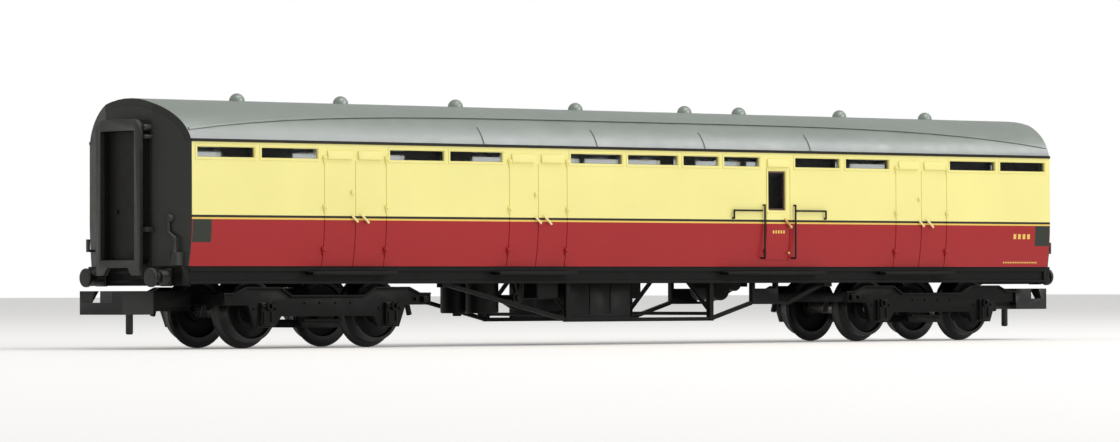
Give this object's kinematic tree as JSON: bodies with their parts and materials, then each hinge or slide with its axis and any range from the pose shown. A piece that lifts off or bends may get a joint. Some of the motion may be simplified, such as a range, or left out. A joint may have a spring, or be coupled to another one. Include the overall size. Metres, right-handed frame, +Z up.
{
  "type": "model railway full brake coach",
  "caption": "Small-scale full brake coach with luggage doors, gangways, trussed underframe, swivelling bogies, rolling wheelsets and lifting hook couplers.",
  "frame": {"origin": "midway along and across the coach, at the lowest points of the wheel flanges; the rail top is 0.65 mm above it", "axes": "+X along the coach towards the end nearer the guard's door, +Y to the left when facing +X, +Z up"},
  "size_m": [0.1438, 0.0196, 0.028],
  "materials": {
    "body_livery": "satin printed paint in cream and crimson over moulded plastic",
    "roof_grey": "satin sprayed paint",
    "glazing": "clear polystyrene",
    "interior_moulding": "unpainted moulding",
    "ballast_steel": "plain rolled strip",
    "black_wire": "satin black",
    "end_black": "satin dark grey",
    "bellows_black": "matt",
    "bright_screw": "plated",
    "spring_steel": "bright wire",
    "coupler_black": "as moulded",
    "bogie_black": "as moulded, faint sheen",
    "axle_steel": "turned",
    "wheel_metal": "chemically blackened, treads bright",
    "underframe_black": "as moulded, faint sheen"
  },
  "bodies": {
    "root": {"body_shell": "body_livery", "roof": "roof_grey", "roof_vents": "roof_grey", "glazing_right": "glazing", "glazing_left": "glazing", "interior": "interior_moulding", "ballast_weight": "ballast_steel", "chassis": "underframe_black", "footboards_right": "underframe_black", "footboards_left": "underframe_black", "truss_right": "underframe_black", "truss_left": "underframe_black", "truss_stays_front": "underframe_black", "truss_stays_rear": "underframe_black", "battery_box_right": "underframe_black", "battery_box_left": "underframe_black", "vacuum_cylinders": "underframe_black", "brake_shaft": "underframe_black", "v_hangers": "underframe_black", "regulator_box": "underframe_black", "switch_box": "underframe_black", "dynamo": "underframe_black", "handrails_right": "black_wire", "handrails_left": "black_wire", "buffers_front": "underframe_black", "buffers_rear": "underframe_black", "gangway_plate_front": "end_black", "gangway_plate_rear": "end_black", "gangway_bellows_front": "bellows_black", "gangway_bellows_rear": "bellows_black", "gangway_door_front": "end_black", "gangway_door_rear": "end_black", "gangway_fittings_front": "end_black", "gangway_fittings_rear": "end_black", "end_pipe_front": "end_black", "end_pipe_rear": "end_black", "lamp_iron_front": "end_black", "lamp_iron_rear": "end_black", "bogie_pivot_front": "bright_screw", "bogie_pivot_rear": "bright_screw"},
    "bogie_front": {"bogie_frame_front": "bogie_black", "coupler_keeper_front": "bogie_black", "coupler_spring_front": "spring_steel"},
    "coupler_front": {"coupler_hook_front": "coupler_black"},
    "bogie_rear": {"bogie_frame_rear": "bogie_black", "coupler_keeper_rear": "bogie_black", "coupler_spring_rear": "spring_steel"},
    "coupler_rear": {"coupler_hook_rear": "coupler_black"},
    "wheelset_1": {"axle_1": "axle_steel", "wheels_1": "wheel_metal"},
    "wheelset_2": {"axle_2": "axle_steel", "wheels_2": "wheel_metal"},
    "wheelset_3": {"axle_3": "axle_steel", "wheels_3": "wheel_metal"},
    "wheelset_4": {"axle_4": "axle_steel", "wheels_4": "wheel_metal"}
  },
  "joints": [
    {"name": "bogie_front_swivel", "type": "hinge", "parent": "root", "child": "bogie_front", "pos_m": [0.0466, 0, 0.00655], "axis": [0, 0, 1], "range_deg": [-10, 10]},
    {"name": "bogie_rear_swivel", "type": "hinge", "parent": "root", "child": "bogie_rear", "pos_m": [-0.0466, 0, 0.00655], "axis": [0, 0, 1], "range_deg": [-10, 10]},
    {"name": "coupler_front_lift", "type": "hinge", "parent": "bogie_front", "child": "coupler_front", "pos_m": [0.06525, 0, 0.00525], "axis": [0, -1, 0], "range_deg": [0, 5], "stiffness_Nm_per_rad": 0.0002},
    {"name": "coupler_rear_lift", "type": "hinge", "parent": "bogie_rear", "child": "coupler_rear", "pos_m": [-0.06525, 0, 0.00525], "axis": [0, 1, 0], "range_deg": [0, 5], "stiffness_Nm_per_rad": 0.0002},
    {"name": "wheelset_1_spin", "type": "hinge", "parent": "bogie_front", "child": "wheelset_1", "pos_m": [0.0553, 0, 0.0041], "axis": [0, 1, 0], "continuous": true},
    {"name": "wheelset_2_spin", "type": "hinge", "parent": "bogie_front", "child": "wheelset_2", "pos_m": [0.0379, 0, 0.0041], "axis": [0, 1, 0], "continuous": true},
    {"name": "wheelset_3_spin", "type": "hinge", "parent": "bogie_rear", "child": "wheelset_3", "pos_m": [-0.0379, 0, 0.0041], "axis": [0, 1, 0], "continuous": true},
    {"name": "wheelset_4_spin", "type": "hinge", "parent": "bogie_rear", "child": "wheelset_4", "pos_m": [-0.0553, 0, 0.0041], "axis": [0, 1, 0], "continuous": true}
  ]
}
